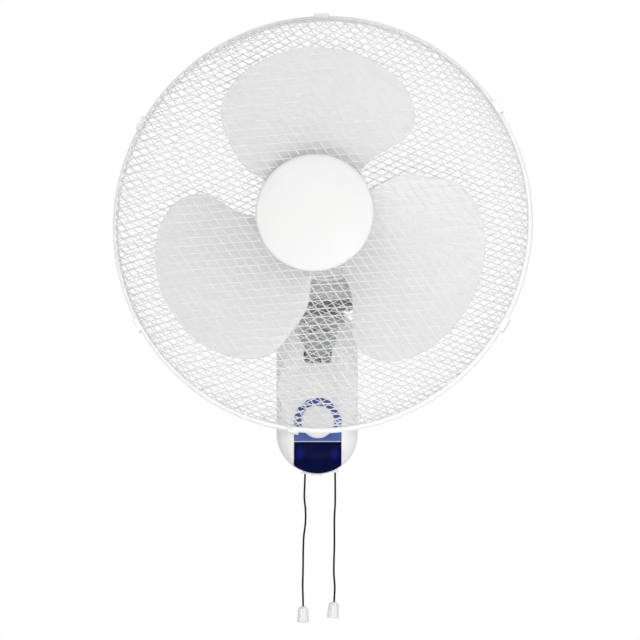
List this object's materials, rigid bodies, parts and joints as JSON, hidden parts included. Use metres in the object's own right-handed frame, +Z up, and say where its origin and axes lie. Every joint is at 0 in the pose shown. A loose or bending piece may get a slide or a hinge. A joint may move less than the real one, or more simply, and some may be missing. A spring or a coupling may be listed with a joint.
{
  "type": "wall mounted fan",
  "caption": "Wall fan with a rhombic wire guard, spinning blades, tilting and swinging head, rounded control housing and pull cords.",
  "frame": {"origin": "middle of the wall plate, on its back face, in the plane of the wall", "axes": "+Y into the wall, -Y out to the viewer, +Z up, +X to the viewer's right"},
  "size_m": [0.4373, 0.3185, 0.6415],
  "materials": {
    "white_plastic": "white moulded plastic, satin gloss",
    "blade_plastic": "light grey moulded plastic, satin",
    "white_wire": "steel wire with a white coating",
    "blue_plastic": "light blue plastic, satin",
    "navy_gloss": "very dark blue, high gloss",
    "black_plastic": "black plastic, matt",
    "grey_plastic": "light grey plastic, satin",
    "steel": "zinc-plated steel",
    "cast_metal": "bare die-cast metal",
    "lamination": "stacked steel laminations",
    "copper": "enamelled copper winding",
    "bronze": "sintered bronze",
    "black_cord": "black braided cord, matt"
  },
  "bodies": {
    "housing": {"wall_plate": "steel", "rear_shell": "white_plastic", "front_shell": "white_plastic", "shell_screw_1": "steel", "shell_screw_2": "steel", "mains_grommet": "black_plastic", "control_panel": "blue_plastic", "panel_window": "navy_gloss", "panel_boss": "white_plastic", "switch_bracket": "steel", "speed_switch": "grey_plastic", "swing_switch": "grey_plastic", "capacitor": "black_plastic", "terminal_block": "white_plastic", "cord_bush_left": "black_plastic", "cord_bush_right": "black_plastic", "tilt_bracket": "steel", "bracket_screw_1": "steel", "bracket_screw_2": "steel", "tilt_bolt": "steel", "tilt_nut": "steel", "friction_washer_left": "black_plastic", "friction_washer_right": "black_plastic"},
    "left_pull": {"pull_cord_left": "black_cord", "pull_left": "white_plastic"},
    "right_pull": {"pull_cord_right": "black_cord", "pull_right": "white_plastic"},
    "neck": {"neck_arm": "grey_plastic", "pan_bush": "bronze"},
    "head": {"pan_bracket": "cast_metal", "pan_pin": "steel", "pan_nut": "steel", "swing_motor": "cast_metal", "swing_cover": "white_plastic", "motor_front_shell": "cast_metal", "motor_rear_shell": "cast_metal", "stator_core": "lamination", "winding_front": "copper", "winding_rear": "copper", "front_bearing": "bronze", "rear_bearing": "bronze", "motor_cover": "white_plastic", "front_guard": "white_wire", "rear_guard": "white_wire", "guard_nut": "white_plastic", "centre_cap": "white_plastic", "rim_clip_1": "white_plastic", "rim_clip_2": "white_plastic", "rim_clip_3": "white_plastic", "rim_clip_4": "white_plastic", "rim_clip_5": "white_plastic", "rim_clip_6": "white_plastic", "ring_screw": "steel"},
    "crank": {"swing_crank": "black_plastic"},
    "link": {"swing_link": "steel"},
    "rotor_and_blades": {"motor_shaft": "steel", "rotor": "lamination", "blade_set": "blade_plastic", "drive_pin": "steel", "spinner_nut": "blade_plastic"}
  },
  "joints": [
    {"name": "tilt", "type": "hinge", "parent": "housing", "child": "neck", "pos_m": [0, -0.066, 0.0445], "axis": [1, 0, 0], "range_deg": [-4, 36]},
    {"name": "swing", "type": "hinge", "parent": "neck", "child": "head", "pos_m": [0, -0.1571, 0.0573], "axis": [0, 0.1392, 0.9903], "range_deg": [-38, 52]},
    {"name": "blade_spin", "type": "hinge", "parent": "head", "child": "rotor_and_blades", "pos_m": [0.00265, -0.21864, 0.17198], "axis": [-0.1219, -0.9829, 0.1381], "continuous": true},
    {"name": "crank_turn", "type": "hinge", "parent": "head", "child": "crank", "pos_m": [0.01605, -0.12513, 0.05281], "axis": [0, 0.1392, 0.9903], "range_deg": [-105, 77]},
    {"name": "link_turn", "type": "hinge", "parent": "crank", "child": "link", "pos_m": [0.03144, -0.12326, 0.05255], "axis": [0, 0.1392, 0.9903], "range_deg": [-77, 105]},
    {"name": "left_pull_travel", "type": "slide", "parent": "housing", "child": "left_pull", "axis": [0, 0, -1], "range_m": [0, 0.015], "stiffness_N_per_m": 300, "springref_m": -0.005},
    {"name": "right_pull_travel", "type": "slide", "parent": "housing", "child": "right_pull", "axis": [0, 0, -1], "range_m": [0, 0.015], "stiffness_N_per_m": 300, "springref_m": -0.005}
  ],
  "couplings": [
    {"joint": "crank_turn", "follows": "swing", "ratio": -2},
    {"joint": "link_turn", "follows": "swing", "ratio": 2}
  ]
}
